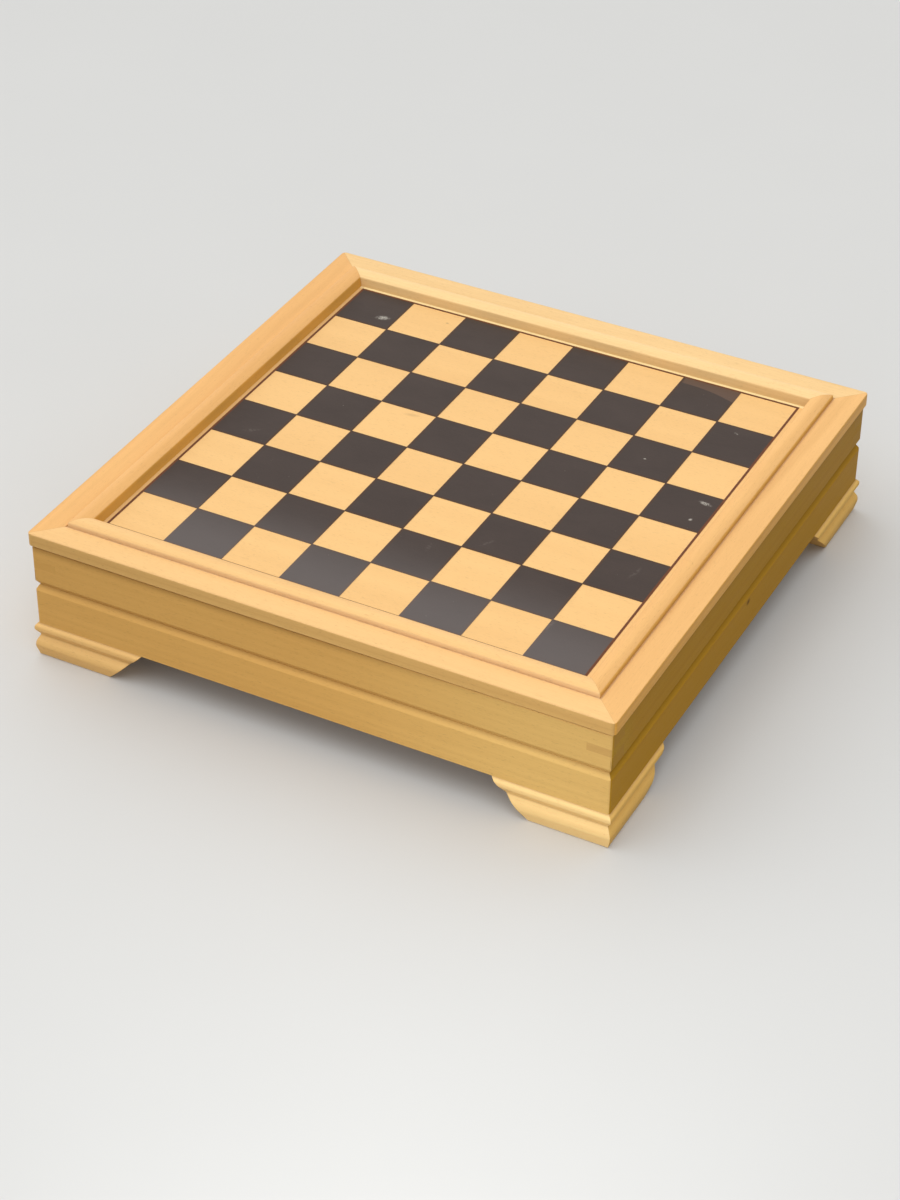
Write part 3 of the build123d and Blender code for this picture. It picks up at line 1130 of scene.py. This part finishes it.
class COMPENDIUM_OT_base(bpy.types.Operator):
    """Mitred walls of the base"""

    bl_idname = "compendium.base"
    bl_label = "Base walls"

    def execute(self, context):
        settings = context.scene.compendium
        for number, side in enumerate(SIDES):
            material = timber(
                f"base_timber_{side}",
                shade(settings.timber.wall, 1.06),
                GRAIN_OF_SIDE[side],
                seed=40 + 3 * number,
                pith=pith_of(side, 0.128 + 0.004 * number, -0.045),
                ring_pitch=3.2 * MM,
                contrast=0.55,
                gloss=WALL_GLOSS[side],
                mitred=True,
                painted_light_bands=PAINTED_LIGHT_NEAR_END if side == "front" else (),
                right_painted_shade=WALL_RIGHT_SHADE,
                # painted shade on the bevel in the groove under the tray
                crease_shade=((TRAY_BOTTOM, 3.6 * MM if side == "right" else 2.2 * MM, 0.35),),
                stains=KNOT if side == "right" else (),
            )
            finish_piece(
                f"base_side_{side}",
                mitred_bar(BASE_SECTION, BASE_ROUNDS, HALF_WALL, WALL_CORNER, side),
                f"base_wall_{side}",
                settings.edges.case,
                material,
                mitred_joint,
                settings.edges.joint,
            )
        return {"FINISHED"}


class COMPENDIUM_OT_feet(bpy.types.Operator):
    """Four corner feet, each of two moulded brackets"""

    bl_idname = "compendium.feet"
    bl_label = "Bracket feet"

    def execute(self, context):
        settings = context.scene.compendium
        materials = {
            side: timber(
                f"foot_timber_{side}",
                tuple(settings.timber.foot),
                GRAIN_OF_SIDE[side],
                seed=60 + 5 * number,
                pith=(0.10, -0.05),
                ring_pitch=2.6 * MM,
                contrast=0.6,
                gloss=FOOT_GLOSS[side],
                mitred=True,
                painted_light_bands=PAINTED_LIGHT_NEAR_FOOT if side == "front" else (),
                right_painted_shade=FOOT_RIGHT_SHADE,
                # painted shade in the crease under the walls and in the feet's groove
                crease_shade=((FOOT_TOP, 0.8 * MM, 0.40), (FOOT_GROOVE, 1.0 * MM, 0.30)),
            )
            for number, side in enumerate(SIDES)
        }
        slope = FOOT_TOP_LENGTH - FOOT_BOTTOM_LENGTH
        for number, corner in enumerate(CORNERS):
            end_of_side = {SIDES[number]: -1, SIDES[number - 1]: 1}
            for side in corner.split("_"):
                end = end_of_side[side]
                bar = section_bar(FOOT_SECTION, FOOT_ROUNDS, HALF_WALL + BAR_SPARE)
                cut_corner(bar, end, FOOT_BULGE, FOOT_CORNER)
                slant_foot = (0, end * (HALF_WALL - FOOT_BOTTOM_LENGTH), 0)
                cut(bar, slant_foot, (0, -end * FOOT_TOP, -slope))
                turn_to_side(bar, side)
                finish_piece(
                    f"bracket_{corner}_{side}",
                    bar,
                    f"foot_{corner}_{side}",
                    settings.edges.foot,
                    materials[side],
                    mitred_joint,
                    settings.edges.joint,
                )
        return {"FINISHED"}


class COMPENDIUM_OT_inside(bpy.types.Operator):
    """Floors, dividers, battens and glue blocks"""

    bl_idname = "compendium.inside"
    bl_label = "Inside and underside"

    def execute(self, context):
        settings = context.scene.compendium
        bare = tuple(settings.timber.inside)
        width = settings.edges.inside
        along_x = timber("inside_timber_x", bare, "X", seed=81, pith=(0.04, -0.09))
        along_y = timber("inside_timber_y", bare, "Y", seed=84, pith=(0.05, -0.07))
        upright = timber("block_timber", shade(bare, 0.95), "Z", seed=87, pith=(0.04, -0.09))
        for side in SIDES:
            material = along_x if GRAIN_OF_SIDE[side] == "X" else along_y
            node = f"board_batten_{side}"
            finish_piece(f"locating_batten_{side}", copy_of(node), node, width, material)
        dividers = {
            "tray_divider_long_1": along_x,
            "tray_divider_cross_1": along_y,
            "tray_divider_cross_2": along_y,
            "base_divider_long_1": along_x,
            "base_divider_cross_1": along_y,
        }
        for node, material in dividers.items():
            name = node.replace("divider", "partition")
            finish_piece(name, copy_of(node), node, width, material)
        for corner in CORNERS:
            node = f"corner_block_{corner}"
            finish_piece(f"glue_block_{corner}", copy_of(node), node, width, upright)
        floor = tuple(settings.timber.floor_veneer)
        repaint("tray_floor", veneer("tray_floor_veneer", floor, 3))
        repaint("base_floor", veneer("base_floor_veneer", shade(floor, 0.97), 7))
        return {"FINISHED"}


# ---- stage ------------------------------------------------------------------------------

FLOOR_HALF_SIDE = 30.0
BOUNCE_COLOUR = display(150, 134, 104)

SOFTBOX_PLACE = (0.11, -0.65, 2.15)
SOFTBOX_TARGET = (0.0, 0.0, 0.05)
SOFTBOX_SPREAD = 180

# the low fill shines on the near corner
FILL_SIDE = 0.20
FILL_SPREAD = 100
FILL_PLACE = (0.24, -0.58, 0.15)
FILL_TARGET = (0.10, -HALF_WALL, 0.03)

CAMERA_PLACE = (0.5035, -0.9920, 0.8030)
CAMERA_TURN = (53.7420, -0.4676, 27.5459)
SENSOR_WIDTH = 36.0


def pale_floor(studio):
    """Floor that looks pale but throws little light back up on the box."""
    nodes = Nodes(bpy.data.materials.new("pale_floor"))
    path = nodes.add("ShaderNodeLightPath")
    grit = nodes.noise(nodes.place(), (9.0,) * 3)
    colour = nodes.mix(grit, shade(studio.floor_colour, 0.985), shade(studio.floor_colour, 1.01))
    seen = nodes.add("ShaderNodeBsdfDiffuse", inputs={"Color": colour})
    bounced = nodes.add("ShaderNodeBsdfDiffuse", inputs={"Color": BOUNCE_COLOUR})
    mixed = nodes.add(
        "ShaderNodeMixShader",
        inputs={
            "Fac": nodes.signal(path, "Is Diffuse Ray"),
            "Shader": nodes.signal(seen, "BSDF"),
            "Shader_001": nodes.signal(bounced, "BSDF"),
        },
    )
    nodes.add("ShaderNodeOutputMaterial", inputs={"Surface": nodes.signal(mixed, "Shader")})
    return nodes.owner


def room(studio):
    """Soft light, strongest from overhead, the left and the back; pale where a gloss sees it."""
    world = bpy.data.worlds.new("room")
    nodes = Nodes(world)
    path = nodes.add("ShaderNodeLightPath")
    seen = nodes.signal(path, "Is Transmission Ray")
    for ray in ("Is Glossy Ray", "Is Camera Ray"):
        seen = nodes.math("MAXIMUM", nodes.signal(path, ray), seen)
    way = nodes.signal(nodes.add("ShaderNodeTexCoord"), "Generated")
    right, back, up = nodes.parts(way)
    overhead = nodes.math("MAXIMUM", up, 0.0) * studio.overhead_light
    from_left = nodes.math("MAXIMUM", right * -1.0, 0.0) * studio.left_light
    from_back = nodes.math("MAXIMUM", back, 0.0) * studio.back_light
    strength = overhead + from_left + from_back + studio.even_light
    lit = {"Color": (1.0, 1.0, 1.0), "Strength": strength}
    light = nodes.add("ShaderNodeBackground", inputs=lit)
    pale = {"Color": tuple(studio.floor_colour), "Strength": 1.0}
    shown = nodes.add("ShaderNodeBackground", inputs=pale)
    mixed = nodes.add(
        "ShaderNodeMixShader",
        inputs={
            "Fac": seen,
            "Shader": nodes.signal(light, "Background"),
            "Shader_001": nodes.signal(shown, "Background"),
        },
    )
    nodes.add("ShaderNodeOutputWorld", inputs={"Surface": nodes.signal(mixed, "Shader")})
    return world


def add_lamp(scene, name, side, power, spread, place, target):
    """Square soft lamp at a place, facing its target; spread is in degrees."""
    lamp = bpy.data.lights.new(name, "AREA")
    lamp.shape = "SQUARE"
    lamp.size = side
    lamp.energy = power
    lamp.spread = math.radians(spread)
    light = bpy.data.objects.new(name, lamp)
    light.location = place
    back = Vector(place) - Vector(target)
    light.rotation_euler = back.to_track_quat("Z", "Y").to_euler()
    scene.collection.objects.link(light)


class COMPENDIUM_OT_stage(bpy.types.Operator):
    """Pale floor, softbox, room light and camera"""

    bl_idname = "compendium.stage"
    bl_label = "Stage"

    def execute(self, context):
        studio = context.scene.compendium.studio
        scene = context.scene

        sheet = bmesh.new()
        bmesh.ops.create_grid(sheet, x_segments=2, y_segments=2, size=FLOOR_HALF_SIDE)
        mesh = bpy.data.meshes.new("stage_floor")
        sheet.to_mesh(mesh)
        sheet.free()
        mesh.materials.append(pale_floor(studio))
        ground = bpy.data.objects.new("stage_floor", mesh)
        scene.collection.objects.link(ground)

        add_lamp(
            scene,
            "softbox",
            side=studio.lamp_side,
            power=studio.lamp_power,
            spread=SOFTBOX_SPREAD,
            place=SOFTBOX_PLACE,
            target=SOFTBOX_TARGET,
        )
        add_lamp(
            scene,
            "low_fill",
            side=FILL_SIDE,
            power=studio.fill_power,
            spread=FILL_SPREAD,
            place=FILL_PLACE,
            target=FILL_TARGET,
        )

        scene.world = room(studio)

        camera_data = bpy.data.cameras.new("camera")
        camera_data.lens = studio.lens / MM
        camera_data.sensor_fit = "AUTO"
        camera_data.sensor_width = SENSOR_WIDTH
        camera_data.clip_start = 0.05
        camera_data.clip_end = 100.0
        camera = bpy.data.objects.new("camera", camera_data)
        camera.location = CAMERA_PLACE
        camera.rotation_euler = [math.radians(angle) for angle in CAMERA_TURN]
        scene.collection.objects.link(camera)
        scene.camera = camera
        scene.view_settings.view_transform = "Standard"
        return {"FINISHED"}


# ---- panel and registration ---------------------------------------------------------------

OPERATORS = (
    COMPENDIUM_OT_rails,
    COMPENDIUM_OT_board,
    COMPENDIUM_OT_tray,
    COMPENDIUM_OT_base,
    COMPENDIUM_OT_feet,
    COMPENDIUM_OT_inside,
    COMPENDIUM_OT_stage,
)


class COMPENDIUM_PT_sidebar(bpy.types.Panel):
    """Lists the pieces of the compendium"""

    bl_idname = "COMPENDIUM_PT_sidebar"
    bl_label = "Games compendium"
    bl_space_type = "VIEW_3D"
    bl_region_type = "UI"
    bl_category = "Compendium"

    def draw(self, context):
        for operator in OPERATORS:
            self.layout.operator(operator.bl_idname)


CLASSES = (
    CompendiumEdges,
    CompendiumTimber,
    CompendiumPaint,
    CompendiumStudio,
    CompendiumSettings,
    *OPERATORS,
    COMPENDIUM_PT_sidebar,
)


def register():
    """Add the classes and the scene's settings."""
    for cls in CLASSES:
        bpy.utils.register_class(cls)
    bpy.types.Scene.compendium = PointerProperty(type=CompendiumSettings)


def unregister():
    """Take them away again."""
    del bpy.types.Scene.compendium
    for cls in reversed(CLASSES):
        bpy.utils.unregister_class(cls)


def main():
    """Make every piece and the stage."""
    register()
    bpy.ops.compendium.rails()
    bpy.ops.compendium.board()
    bpy.ops.compendium.tray()
    bpy.ops.compendium.base()
    bpy.ops.compendium.feet()
    bpy.ops.compendium.inside()
    bpy.ops.compendium.stage()


if __name__ == "__main__":
    main()
